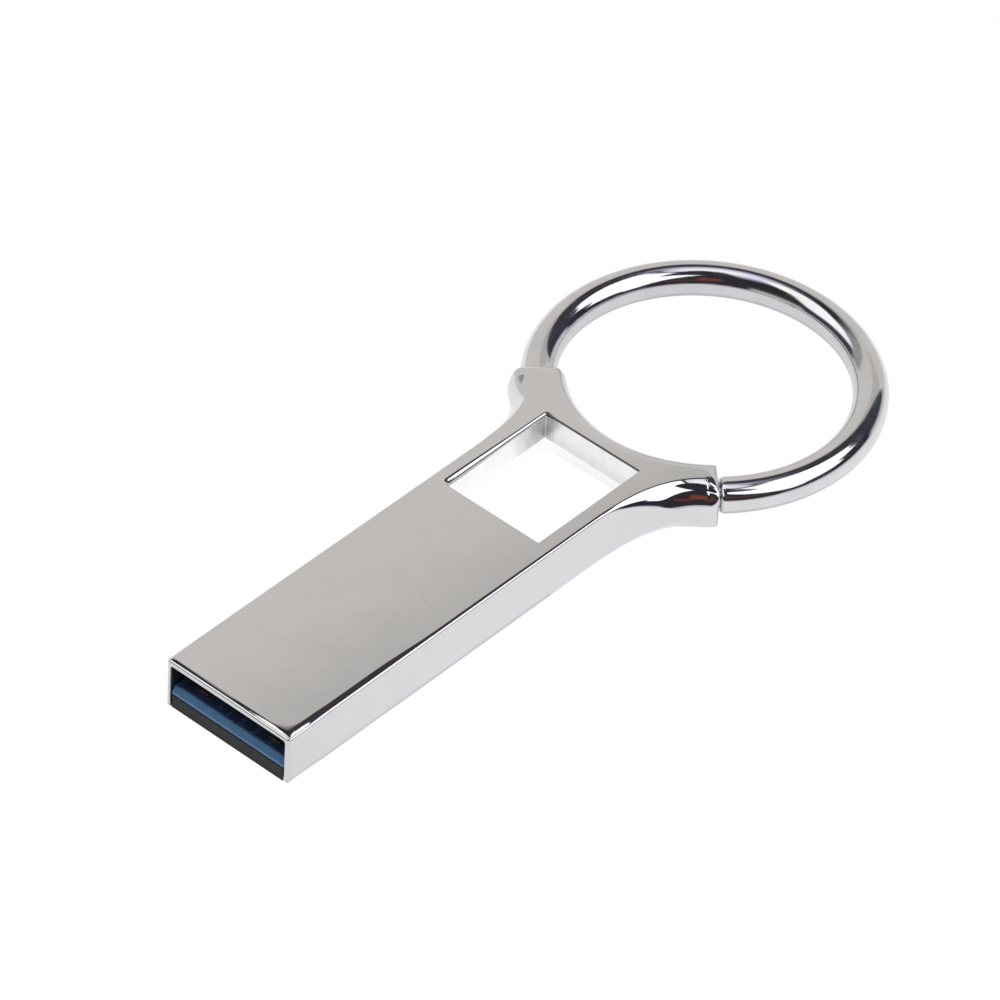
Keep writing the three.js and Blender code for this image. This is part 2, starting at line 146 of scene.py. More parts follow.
# The right side took more polishing than the left, and most of it near the mouth. Each row is a
# y with the roll-off's width there and its steepest slope in degrees.
WORN_SIDE = ((MOUTH_Y, 0.52, 8.0), (-30.5, 0.5, 13.0), (-24.0, 0.46, 15.0), (-17.0, 0.2, 12.0),
             (0.0, 0.12, 10.0))
CRISP_SIDE = ((MOUTH_Y, 0.12, 8.0), (0.0, 0.12, 10.0))
WORN_CORNER, CRISP_CORNER = 1.9, 0.4    # plan radius of the flat top's corner at the mouth
ARM_ROLL = 0.17
ARM_SLOPE = 14.0
ROLL_STRAIGHT = 4.5           # where the corner's influence ends, behind the mouth


def arc_degrees(length):
    """Degrees round the ring's centreline that a length along it covers."""
    return math.degrees(length / RING_RADIUS)


def smooth(low, high, value):
    """Smoothstep from 0 at low to 1 at high."""
    share = min(1.0, max(0.0, (value - low) / (high - low)))
    return share * share * (3 - 2 * share)


def mix(a, b, share):
    return a + (b - a) * share


def shares(steps):
    """Even steps from 0 to 1, with both ends."""
    return [i / steps for i in range(steps + 1)]


# ---- Meshes -------------------------------
def add_object(name, data):
    obj = bpy.data.objects.new(name, data)
    bpy.context.scene.collection.objects.link(obj)
    return obj


def shade(mesh, sharp_above=40):
    """Smooth shading, with edges sharp above an angle in degrees."""
    mesh.shade_smooth()
    mesh.set_sharp_from_angle(angle=math.radians(sharp_above))


def make_mesh(name, points, faces, materials):
    """A mesh object from points in millimetres."""
    mesh = bpy.data.meshes.new(name)
    mesh.from_pydata([Vector(p) * MM for p in points], [], faces)
    shape = bmesh.new()
    shape.from_mesh(mesh)
    bmesh.ops.recalc_face_normals(shape, faces=shape.faces)
    shape.to_mesh(mesh)
    shape.free()
    for material in materials:
        mesh.materials.append(material)
    shade(mesh)
    return add_object(name, mesh)


def loft_faces(ring_count, points_per_ring, closed_along=False):
    """Quads between rings of equal count, with caps unless the rings close on themselves."""
    faces = []
    count = points_per_ring
    last = ring_count if closed_along else ring_count - 1
    for i in range(last):
        following = (i + 1) % ring_count
        for j in range(count):
            k = (j + 1) % count
            faces.append((i * count + j, i * count + k, following * count + k, following * count + j))
    if not closed_along:
        faces.append(tuple(range(count - 1, -1, -1)))
        faces.append(tuple((ring_count - 1) * count + j for j in range(count)))
    return faces


def loft(name, rings, materials, closed_along=False):
    points = [point for ring in rings for point in ring]
    return make_mesh(name, points, loft_faces(len(rings), len(rings[0]), closed_along), materials)


def rounded_rectangle(half_width, half_height, corner):
    """Points round a rectangle with rounded corners, anticlockwise."""
    points = []
    for sx, sy, start in ((1, -1, -90), (1, 1, 0), (-1, 1, 90), (-1, -1, 180)):
        for share in shares(5):
            angle = math.radians(start + 90 * share)
            points.append((
                sx * (half_width - corner) + corner * math.cos(angle),
                sy * (half_height - corner) + corner * math.sin(angle),
            ))
    return points


def ring_point(degrees, outward, up):
    """A point beside the ring's centreline."""
    angle = math.radians(degrees)
    radius = RING_RADIUS + outward
    return Vector((radius * math.cos(angle), RING_Y + radius * math.sin(angle), MID_Z + up))


def bar_rings(profile, sides):
    """Circles along the ring's centreline. The profile is a list of (degrees, radius)."""
    turns = [2 * math.pi * k / sides for k in range(sides)]
    return [
        [ring_point(degrees, radius * math.sin(t), radius * math.cos(t)) for t in turns]
        for degrees, radius in profile
    ]


def straight_run(start, end, radius):
    """A run of one radius, with a circle about every degree."""
    steps = max(1, math.ceil(abs(end - start)))
    return [(mix(start, end, share), radius) for share in shares(steps)]


def rounded_run(degrees, radius, size, direction, steps=8, outward=True):
    """A quarter round on a bar's end: from the end face out to the bar's side."""
    run = []
    for share in shares(steps):
        turn = math.pi / 2 * share
        along = size * (1 - math.cos(turn))
        inset = size * (1 - math.sin(turn))
        side = radius - inset if outward else radius + inset
        run.append((degrees + direction * arc_degrees(along), side))
    return run


# ---- Casting ------------------------------
# Plan points of one place on the outline: its widest point, the inner end of the edge's
# rounding, where the flat top starts, the rounding's height, the slope in degrees at which the
# rounding meets the roll-off, and how far the rounding is flattened into a facet.
Station = namedtuple("Station", "widest shoulder flat height slope facet", defaults=[0.0])


def plan(x, y):
    return Vector((x, y))


def polar(radius, angle):
    return plan(radius * math.cos(angle), RING_Y + radius * math.sin(angle))


class Side:
    """One side of the casting: how its upper edge rolls off, and its corner at the mouth."""

    def __init__(self, rolls, corner):
        self.rolls = rolls
        self.corner = corner
        self.flat_reach = HALF_WIDTH - EDGE - self.roll(MOUTH_Y)[0] - corner

    def roll(self, y):
        """Width and slope of the roll-off at y."""
        for (y0, width0, slope0), (y1, width1, slope1) in zip(self.rolls, self.rolls[1:]):
            if y <= y1:
                share = smooth(y0, y1, y)
                return mix(width0, width1, share), mix(slope0, slope1, share)
        return self.rolls[-1][1:]


def front_stations(side):
    """From the middle of the mouth's top edge to its corner."""
    for share in shares(12)[:-1]:
        x = (HALF_WIDTH - MOUTH_CORNER) * share
        yield Station(
            plan(x, MOUTH_Y), plan(x, MOUTH_Y + EDGE),
            plan(side.flat_reach * share, MOUTH_Y + EDGE + FRONT_ROLL), EDGE, FRONT_SLOPE,
        )


def mouth_corner_stations(side):
    slope = side.roll(MOUTH_Y)[1]
    centre = plan(HALF_WIDTH - MOUTH_CORNER, MOUTH_Y + MOUTH_CORNER)
    flat_centre = plan(side.flat_reach, MOUTH_Y + EDGE + FRONT_ROLL + side.corner)
    for share in shares(20):
        angle = math.pi / 2 * (share - 1)
        way = plan(math.cos(angle), math.sin(angle))
        yield Station(
            centre + way * MOUTH_CORNER, centre + way * (MOUTH_CORNER - EDGE),
            flat_centre + way * side.corner, EDGE, mix(FRONT_SLOPE, slope, share),
        )


def side_stations(side):
    """The straight flank, from the mouth's corner to the flare."""
    start = MOUTH_Y + MOUTH_CORNER
    flat_start = MOUTH_Y + EDGE + FRONT_ROLL + side.corner
    joined = MOUTH_Y + ROLL_STRAIGHT
    for onward in shares(60)[1:-1]:
        y = mix(start, FLARE_Y, onward)
        share = min(1.0, (y - start) / (joined - start))
        flat_y = y if share == 1 else mix(flat_start, joined, share)
        roll, slope = side.roll(flat_y)[0], side.roll(y)[1]
        yield Station(
            plan(HALF_WIDTH, y), plan(HALF_WIDTH - EDGE, y),
            plan(HALF_WIDTH - EDGE - roll, flat_y), EDGE, slope,
        )


def bulge_at(travel):
    """Width, height and facet of the rounding at a distance along the flare."""
    share = smooth(BULGE_FROM, BULGE_TO, travel)
    facet = FACET * min(smooth(*FACET_STARTS, travel), 1 - smooth(*FACET_ENDS, travel))
    return mix(EDGE, ARM_OUTER_RADIUS - FLAT_OUTER_RADIUS, share), mix(EDGE, BULGE_HEIGHT, share), facet


FLARE_X = HALF_WIDTH + FLARE_RADIUS
FLARE_REACH = ARM_OUTER_RADIUS + FLARE_RADIUS
FLARE_Y = RING_Y - math.sqrt(FLARE_REACH ** 2 - FLARE_X ** 2)
SWEEP = math.acos(FLARE_X / FLARE_REACH)


def flare_stations(side):
    roll, slope = side.roll(FLARE_Y)
    centre = plan(FLARE_X, FLARE_Y)
    for share in shares(44):
        angle = SWEEP * share
        width, height, facet = bulge_at(FLARE_RADIUS * angle)
        way = plan(-math.cos(angle), math.sin(angle))
        yield Station(
            centre + way * FLARE_RADIUS, centre + way * (FLARE_RADIUS + width),
            centre + way * (FLARE_RADIUS + width + mix(roll, ARM_ROLL, share)), height,
            mix(slope, ARM_SLOPE, share), facet,
        )


def arm_stations():
    """Along the arm's outer side, from the flare to the rounded end."""
    start = -SWEEP
    stop = ARM_END_TURN - BOSS_CORNER / ARM_OUTER_RADIUS
    flat_stop = ARM_END_TURN - (BOSS_CORNER + FLAT_CORNER) / FLAT_OUTER_RADIUS
    for share in shares(8)[1:-1]:
        angle = mix(start, stop, share)
        flat_angle = mix(start, flat_stop, share)
        width, height, facet = bulge_at(FLARE_RADIUS * SWEEP + ARM_OUTER_RADIUS * (angle - start))
        yield Station(
            polar(ARM_OUTER_RADIUS, angle), polar(ARM_OUTER_RADIUS - width, flat_angle),
            polar(ARM_OUTER_RADIUS - width - ARM_ROLL, flat_angle), height, ARM_SLOPE, facet,
        )


def at_end_face(radial, past):
    """A plan point from its distance along the arm's end face and its distance past it."""
    c, s = math.cos(ARM_END_TURN), math.sin(ARM_END_TURN)
    return plan(radial * c - past * s, RING_Y + radial * s + past * c)


def end_corner(limit, inset, radius, side):
    """A rounded plan corner of the arm's end, as a function of the turn from the arm's side."""
    past = -inset - radius
    radial = math.sqrt((limit - side * radius) ** 2 - past ** 2)

    def corner_point(angle):
        return at_end_face(radial + side * radius * math.cos(angle), past + radius * math.sin(angle))

    return corner_point


def boss_stations(side):
    """The arm's rounded end: side 1 is away from the ring's centre, and -1 towards it."""
    limits = (ARM_OUTER_RADIUS, FLAT_OUTER_RADIUS) if side > 0 else (ARM_INNER_RADIUS, FLAT_INNER_RADIUS)
    corner = FLAT_CORNER if side > 0 else FLAT_INNER_CORNER
    widest = end_corner(limits[0], 0, BOSS_CORNER, side)
    shoulder = end_corner(limits[1], BOSS_CORNER, corner, side)
    flat = end_corner(limits[1] - side * ARM_ROLL, BOSS_CORNER + ARM_ROLL, corner, side)
    stations = [
        Station(
            *(corner_point(share * math.pi / 2) for corner_point in (widest, shoulder, flat)),
            mix(BULGE_HEIGHT, BOSS_EDGE_HEIGHT, smooth(0, 1, share)), ARM_SLOPE,
        )
        for share in shares(14)
    ]
    return stations[::side]


def between(first, last, steps):
    """Stations on the straight stretch between two stations."""
    return [
        Station(*(mix(a, b, share) for a, b in zip(first, last)))
        for share in shares(steps)[1:-1]
    ]


def hollow_stations():
    """The hollow between the arms, from one arm to the middle."""
    start = ARM_END_TURN - BOSS_CORNER / ARM_INNER_RADIUS
    flat_start = ARM_END_TURN - (BOSS_CORNER + FLAT_INNER_CORNER) / FLAT_INNER_RADIUS
    end = -math.pi / 2
    for share in shares(36)[1:]:
        radius = mix(FLAT_INNER_RADIUS, FLAT_INNER_MIDDLE, smooth(0, 1, share))
        angle = mix(start, end, share)
        flat_angle = mix(flat_start, end, share)
        yield Station(
            polar(ARM_INNER_RADIUS, angle), polar(radius, flat_angle),
            polar(radius + ARM_ROLL, flat_angle), BULGE_HEIGHT, ARM_SLOPE,
        )


def flipped(station):
    """The same station on the casting's other side."""
    points = [plan(-p.x, p.y) for p in station[:3]]
    return Station(*points, *station[3:])


def half_outline(side):
    outer, inner = boss_stations(1), boss_stations(-1)
    return [*front_stations(side), *mouth_corner_stations(side), *side_stations(side),
            *flare_stations(side), *arm_stations(), *outer, *between(outer[-1], inner[0], 8),
            *inner, *hollow_stations()]


def casting_outline():
    right = half_outline(Side(WORN_SIDE, WORN_CORNER))
    left = half_outline(Side(CRISP_SIDE, CRISP_CORNER))
    return right + [flipped(station) for station in reversed(left[1:-1])]


def edge_profile(station):
    """(plan point, drop below the flat) from the flat top's edge down to the widest point."""
    width = (station.shoulder - station.widest).length
    gradient = math.tan(math.radians(station.slope))
    tilt = width / station.height * gradient
    last = math.acos(tilt / (1 - tilt)) if tilt < 0.5 else 0.3
    roll = (station.flat - station.shoulder).length
    dip = roll * gradient / 2
    profile = []
    for share in shares(7)[:-1]:
        profile.append((mix(station.flat, station.shoulder, share), dip * share ** 2))
    for share in shares(14):
        turn = last * (1 - share)
        inward = mix((1 - math.cos(turn)) / (1 - math.cos(last)), 1 - share, station.facet)
        fall = mix(1 - math.sin(turn) / math.sin(last), share, station.facet)
        profile.append((mix(station.widest, station.shoulder, inward), dip + station.height * fall))
    return profile


def skin_normals(rings):
    """Normals of the casting's skin, from the slopes of its grid of points."""
    levels, count = len(rings), len(rings[0])
    upper = levels // 2
    normals = []
    for i in range(levels):
        for j in range(count):
            along = rings[i][(j + 1) % count] - rings[i][j - 1]
            if i in (0, levels - 1):
                normal = UP.copy()
            elif i in (upper - 1, upper):
                normal = along.cross(UP)
                normal.z = 0
            else:
                normal = along.cross(rings[i - 1][j] - rings[i + 1][j])
            upward = (i > upper) - (i < upper - 1)
            normals.append((-normal if normal.z * upward < 0 else normal).normalized())
    return normals


def casting_skin():
    """The casting before anything is cut out of it: its rings and their normals."""
    profiles = [edge_profile(station) for station in casting_outline()]
    levels = len(profiles[0])
    top = [
        [Vector((*profile[k][0], BODY_HEIGHT - profile[k][1])) for profile in profiles]
        for k in range(levels)
    ]
    bottom = [[Vector((p.x, p.y, BODY_HEIGHT - p.z)) for p in ring] for ring in top]
    rings = bottom + top[::-1]
    return rings, skin_normals(rings)


def lip_radius(x, y):
    """Rounding of the window's upper edge: generous on the left, where the polishing wheel ran."""
    on_left = smooth(-WINDOW_HALF_WIDTH + 0.3, -WINDOW_HALF_WIDTH + 0.02, x)
    left = mix(0.46, 0.26, smooth(WINDOW_FRONT, WINDOW_BACK, y))
    return mix(0.12, left, on_left)


def window_outline():
    """Plan points of the window with their outward directions."""
    corners = (
        (WINDOW_HALF_WIDTH, WINDOW_FRONT, -90), (WINDOW_HALF_WIDTH, WINDOW_BACK, 0),
        (-WINDOW_HALF_WIDTH, WINDOW_BACK, 90), (-WINDOW_HALF_WIDTH, WINDOW_FRONT, 180),
    )
    middle = (WINDOW_FRONT + WINDOW_BACK) / 2
    corner_steps, side_steps = 8, 14
    turned = []
    for x, y, start in corners:
        near_left = x < 0 and y == WINDOW_FRONT
        radius = WINDOW_NEAR_LEFT_CORNER if near_left else WINDOW_CORNER
        centre = plan(x - math.copysign(radius, x), y - math.copysign(radius, y - middle))
        for share in shares(corner_steps):
            angle = math.radians(start + 90 * share)
            way = plan(math.cos(angle), math.sin(angle))
            turned.append((centre + way * radius, way))
    outline = []
    for i, (point, way) in enumerate(turned):
        outline.append((point, way))
        if i % (corner_steps + 1) == corner_steps:
            onward = turned[(i + 1) % len(turned)][0]
            outline += [(mix(point, onward, share), way) for share in shares(side_steps)[1:-1]]
    return outline


def window_cutter(cast, polished, bright):
    """The window: walls that step out wider in their lower half, under a rounded upper edge."""
    outline = window_outline()
    over, margin = 0.02, 1.0      # how far the cutter stands out of the casting, in two stages
    sill, burr = 0.4, 0.03        # a ring part of the way up, and the rounding of the step
    draft = WINDOW_FLARE / WINDOW_STEP
    steepest = math.radians(84)

    def ring(outward, z, lip_outward=0.0, lip_drop=0.0):
        """Points outside the outline. The last two are shares of the lip's radius to add."""
        points = []
        for p, w in outline:
            radius = lip_radius(*p)
            points.append(Vector((*(p + w * (outward + lip_outward * radius)), z - lip_drop * radius)))
        return points

    rings = [ring(draft * (WINDOW_STEP - z), z) for z in (-margin, sill)]
    for share in shares(5):
        height = mix(WINDOW_STEP - burr, WINDOW_STEP + burr, share)
        rings.append(ring(draft * burr * (1 - share) ** 2, height))
    for share in shares(10):
        turn = steepest * share
        rings.append(ring(0, BODY_HEIGHT, 1 - math.cos(turn), 1 - math.sin(turn)))
    for rise in (over, margin):
        rings.append(ring(over * math.tan(steepest), BODY_HEIGHT + rise, 1 - math.cos(steepest)))
    cutter = loft("window_cut", rings, [cast, polished, bright])
    wall_top = BODY_HEIGHT - lip_radius(-WINDOW_HALF_WIDTH, WINDOW_FRONT)
    for polygon in cutter.data.polygons:
        height = polygon.center.z / MM
        polygon.material_index = 2 if height < WINDOW_STEP else int(height >= wall_top)
    return cutter


def pocket_cutter(material):
    """The plug's pocket, with slightly rounded inner corners and a softened mouth."""
    corner, soft = 0.18, 0.07
    middle = (POCKET_FLOOR + POCKET_ROOF) / 2
    half_height = (POCKET_ROOF - POCKET_FLOOR) / 2

    def ring(offset, y):
        outline = rounded_rectangle(POCKET_HALF_WIDTH + offset, half_height + offset, corner + offset)
        return [Vector((x, y, middle + z)) for x, z in outline]

    rings = [ring(soft, MOUTH_Y - 1)]
    for share in shares(5):
        turn = math.pi / 2 * share
        rings.append(ring(soft * (1 - math.sin(turn)), MOUTH_Y - 0.002 + soft * (1 - math.cos(turn))))
    rings.append(ring(0, MOUTH_Y + POCKET_DEPTH))
    return loft("pocket_cut", rings, [material])


def notch_cutter(material):
    """The bottom wall stops short of the mouth, to make room for the carrier's lip."""
    x = POCKET_HALF_WIDTH
    z0, z1 = -1.0, POCKET_FLOOR + 0.1
    rings = [
        [Vector((x, y, z0)), Vector((x, y, z1)), Vector((-x, y, z1)), Vector((-x, y, z0))]
        for y in (MOUTH_Y - 1, MOUTH_Y + LIP_DEPTH)
    ]
    return loft("notch_cut", rings, [material])


def bore_cutters(material):
    sides = 56
    soft = 0.08
    bush = BUSH_OUTER + FIT
    socket = PIN_RADIUS + SOCKET_GAP
    socket_end = ARM_END - arc_degrees(PIN_REACH + 2 * SOCKET_GAP)
    profiles = {
        "bush_cut": [(FAR_END - 4, bush + soft)]
        + rounded_run(FAR_END, bush, soft, 1, outward=False) + [(BUSH_END + 0.5, bush)],
        "bore_cut": straight_run(BUSH_END - 1, BORE_END, BORE_RADIUS),
        "socket_cut": [(socket_end, socket)]
        + rounded_run(ARM_END, socket, soft, -1, outward=False)[::-1] + [(ARM_END + 4, socket + soft)],
    }
    return [loft(name, bar_rings(profile, sides), [material]) for name, profile in profiles.items()]


def cut(obj, cutters):
    """Cuts the cutters out of obj; each cut face keeps its cutter's material."""
    tools = bpy.data.collections.new("cutters")
    for cutter in cutters:
        tools.objects.link(cutter)
    modifier = obj.modifiers.new("cut", "BOOLEAN")
    modifier.operation = "DIFFERENCE"
    modifier.solver = "EXACT"
    modifier.operand_type = "COLLECTION"
    modifier.collection = tools
    modifier.material_mode = "TRANSFER"
    graph = bpy.context.evaluated_depsgraph_get()
    mesh = bpy.data.meshes.new_from_object(obj.evaluated_get(graph), depsgraph=graph)
    obj.modifiers.clear()
    obj.data = mesh
    for cutter in cutters:
        bpy.data.objects.remove(cutter)
    bpy.data.collections.remove(tools)


def keep_skin_normals(mesh, rings, normals):
    """Gives the polished faces the exact normals of the skin that they were cut from."""
    points = [point for ring in rings for point in ring]
    faces = loft_faces(len(rings), len(rings[0]))[:-2]
    tree = BVHTree.FromPolygons(points, faces)
    shade(mesh)
    custom = [(0.0, 0.0, 0.0)] * len(mesh.loops)
    for polygon in mesh.polygons:
        if polygon.material_index:
            continue
        level = abs(polygon.normal.z) > 0.999999
        for loop in polygon.loop_indices:
            if level:
                custom[loop] = tuple(polygon.normal)
                continue
            point = mesh.vertices[mesh.loops[loop].vertex_index].co / MM
            near, _, index, _ = tree.find_nearest(point)
            corners = faces[index]
            weights = poly_3d_calc([points[c] for c in corners], near)
            normal = sum((normals[c] * w for c, w in zip(corners, weights)), Vector())
            custom[loop] = tuple(normal.normalized())
    mesh.normals_split_custom_set(custom)


def make_shell(chrome, cast, lip, bright, dark):
    rings, normals = casting_skin()
    shell = loft("shell_casting", rings, [chrome])
    # The pocket, the notch and the bores take the plating darkened as painted shade.
    cutters = [window_cutter(cast, lip, bright), pocket_cutter(dark), notch_cutter(dark),
               *bore_cutters(dark)]
    cut(shell, cutters)
    keep_skin_normals(shell.data, rings, normals)
    return shell


# ---- Key ring and guides ------------------
def make_key_ring(chrome):
    nose = ARM_END + arc_degrees(NOSE_GAP)
    hole = PIN_RADIUS + PIN_GAP
    rim, chamfer = 0.06, 0.2
    shoulder = []
    for share in shares(16):
        turn = math.pi / 2 * share
        shoulder.append((
            nose + arc_degrees(SHOULDER * (1 - math.cos(turn))),
            WIRE_RADIUS - SHOULDER_DEPTH * (1 - math.sin(turn)),
        ))
    profile = [(nose + arc_degrees(PIN_HOLD + PIN_GAP), hole)]
    profile += rounded_run(nose, hole, rim, 1, steps=5, outward=False)[::-1]
    profile += shoulder
    profile += straight_run(shoulder[-1][0], TAIL_END - arc_degrees(chamfer), WIRE_RADIUS)[1:]
    profile += rounded_run(TAIL_END, WIRE_RADIUS, chamfer, -1)[::-1][1:]
    return loft("key_ring_wire", bar_rings(profile, 96), [chrome])


def make_latch_pin(steel):
    tip = ARM_END - arc_degrees(PIN_REACH)
    root = ARM_END + arc_degrees(NOSE_GAP + PIN_HOLD)
    point, past_point = 0.2, 1.5  # the tip's rounding, and the degrees that clear it
    profile = rounded_run(tip, PIN_RADIUS, point, 1) + straight_run(tip + past_point, root, PIN_RADIUS)
    return loft("latch_pin_turned", bar_rings(profile, 64), [steel])


def make_guide_bush(nylon):
    set_back, chamfer = 0.02, 0.05
    face = FAR_END + arc_degrees(set_back)
    side = face + arc_degrees(chamfer)
    profile = (
        straight_run(BUSH_END, side, BUSH_INNER)
        + [(face, BUSH_INNER + chamfer), (face, BUSH_OUTER - chamfer)]
        + straight_run(side, BUSH_END, BUSH_OUTER)
    )
    return loft("guide_bush_sleeve", bar_rings(profile, 64), [nylon], closed_along=True)


def make_return_spring(steel):
    """A coil wound round the ring's own circle, with its end turns closed up."""
    clearance = arc_degrees(2 * SPRING_WIRE)
    start, end = TAIL_END + clearance, BORE_END - clearance
    steps_per_turn, sides = 56, 12
    closed = 0.7                  # how much of the pitch the ends give up to the middle

    def centre(share):
        turn = 2 * math.pi * SPRING_TURNS * share
        degrees = mix(start, end, mix(share, smooth(0, 1, share), closed))
        outward, up = SPRING_RADIUS * math.sin(turn), SPRING_RADIUS * math.cos(turn)
        return ring_point(degrees, outward, up), degrees

    rings = []
    for share in shares(steps_per_turn * SPRING_TURNS):
        point, degrees = centre(share)
        tangent = (centre(share + 1e-3)[0] - centre(share - 1e-3)[0]).normalized()
        outward = (point - ring_point(degrees, 0, 0)).normalized()
        across = tangent.cross(outward).normalized()
        rings.append([
            point + (outward * math.cos(t) + across * math.sin(t)) * SPRING_WIRE
            for t in (2 * math.pi * k / sides for k in range(sides))
        ])
    return loft("return_spring_coil", rings, [steel])


# ---- Plug ---------------------------------
def give_material(mesh, material):
    mesh.materials.clear()
    mesh.materials.append(material)


def softened(node, name, width, material):
    """A copy of a CAD node's solid with its edges rounded, as moulded or stamped parts are."""
    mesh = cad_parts[node].data.copy()
    give_material(mesh, material)
    shape = bmesh.new()
    shape.from_mesh(mesh)
    bmesh.ops.remove_doubles(shape, verts=shape.verts, dist=0.001 * MM)
    flat_angle = math.radians(1)
    bmesh.ops.dissolve_limit(shape, angle_limit=flat_angle, verts=shape.verts, edges=shape.edges)
    sharp = [e for e in shape.edges if len(e.link_faces) == 2 and e.calc_face_angle(0) > math.radians(15)]
    bmesh.ops.bevel(shape, geom=sharp, offset=width * MM, segments=3, profile=0.5,
                    affect="EDGES", clamp_overlap=True)
    for face in shape.faces:
        face.material_index = 0
    shape.to_mesh(mesh)
    shape.free()
    shade(mesh, sharp_above=35)
    obj = add_object(name, mesh)
    weighted = obj.modifiers.new("face weighted normals", "WEIGHTED_NORMAL")
    weighted.keep_sharp = True
    return obj


def make_foam_pad(foam):
    """Foam squeezed between the board and the casting: flat faces, and sides that belly out."""
    low, high = box_mm("adhesive_pad")
    centre, half = (low + high) / 2, (high - low) / 2
    belly, corner = 0.16, 0.35
    rings = []
    for share in shares(12):
        height = 2 * share - 1
        inset = belly * height ** 2
        outline = rounded_rectangle(half.x - inset, half.y - inset, corner)
        rings.append([centre + Vector((x, y, height * half.z)) for x, y in outline])
    return loft("adhesive_pad_foam", rings, [foam])


# ---- Node fields --------------------------
class Field:
    """A value in a node tree that can be used in arithmetic like a number."""

    def __init__(self, tree, socket):
        self.tree = tree
        self.socket = socket

    def math(self, operation, *others):
        node = self.tree.nodes.new("ShaderNodeMath")
        node.operation = operation
        for slot, value in zip(node.inputs, (self, *others)):
            feed(self.tree, slot, value)
        return Field(self.tree, node.outputs[0])

    def __add__(self, other):
        return self.math("ADD", other)

    def __sub__(self, other):
        return self.math("SUBTRACT", other)

    def __mul__(self, other):
        return self.math("MULTIPLY", other)

    def __truediv__(self, other):
        return self.math("DIVIDE", other)

    def ramp(self, low, high, to_low=0.0, to_high=1.0):
        """Smoothstep between two values."""
        node = self.tree.nodes.new("ShaderNodeMapRange")
        node.interpolation_type = "SMOOTHSTEP"
        for socket, value in zip(node.inputs, (self, low, high, to_low, to_high)):
            feed(self.tree, socket, value)
        return Field(self.tree, node.outputs["Result"])


def feed(tree, socket, value):
    if isinstance(value, Field):
        tree.links.new(value.socket, socket)
    else:
        socket.default_value = value


def blend(tree, factor, below, above):
    """Colour above laid over colour below by a factor. Colours are tuples or Fields."""
    node = tree.nodes.new("ShaderNodeMix")
    node.data_type = "RGBA"
    feed(tree, node.inputs[0], factor)
    for socket, color in ((node.inputs[6], below), (node.inputs[7], above)):
        feed(tree, socket, color if isinstance(color, Field) else (*color, 1.0))
    return Field(tree, node.outputs[2])


def components(tree, vector):
    node = tree.nodes.new("ShaderNodeSeparateXYZ")
    tree.links.new(vector, node.inputs[0])
    return [Field(tree, output) for output in node.outputs]


def show(tree, choice, first, second, output):
    """Shows the first shader, and the second where the choice is 1."""
    choose = tree.nodes.new("ShaderNodeMixShader")
    for socket, source in zip(choose.inputs, (choice, first, second)):
        tree.links.new(source, socket)
    tree.links.new(choose.outputs[0], tree.nodes.new(output).inputs[0])


def linear(*rgb):
    """An sRGB colour from 0 to 255 as linear light."""
    levels = [c / 255 for c in rgb]
    return tuple(v / 12.92 if v <= 0.04045 else ((v + 0.055) / 1.055) ** 2.4 for v in levels)


# ---- Studio -------------------------------
CHROME = (0.69, 0.682, 0.706)
BRIGHTEST = 2.0               # radiance that the sky's colours are shares of
WHITE_LIGHT = (0.85, 0.85, 0.86)


def seen(*rgb):
    """The sky colour that the chrome shows as this sRGB colour."""
    return tuple(value / tint / BRIGHTEST for value, tint in zip(linear(*rgb), CHROME))


# The room by elevation in degrees, where no card covers it.
ROOM_LEVELS = (
    (-90, (222, 222, 223)), (-25, (212, 212, 214)), (0, (198, 198, 200)), (10, (168, 168, 171)),
    (18, (84, 83, 88)), (26, (44, 43, 46)), (57, (38, 37, 42)), (63, (74, 73, 96)),
    (69, (150, 150, 172)), (76, (208, 208, 218)), (84, (240, 240, 242)), (90, (244, 243, 243)),
)


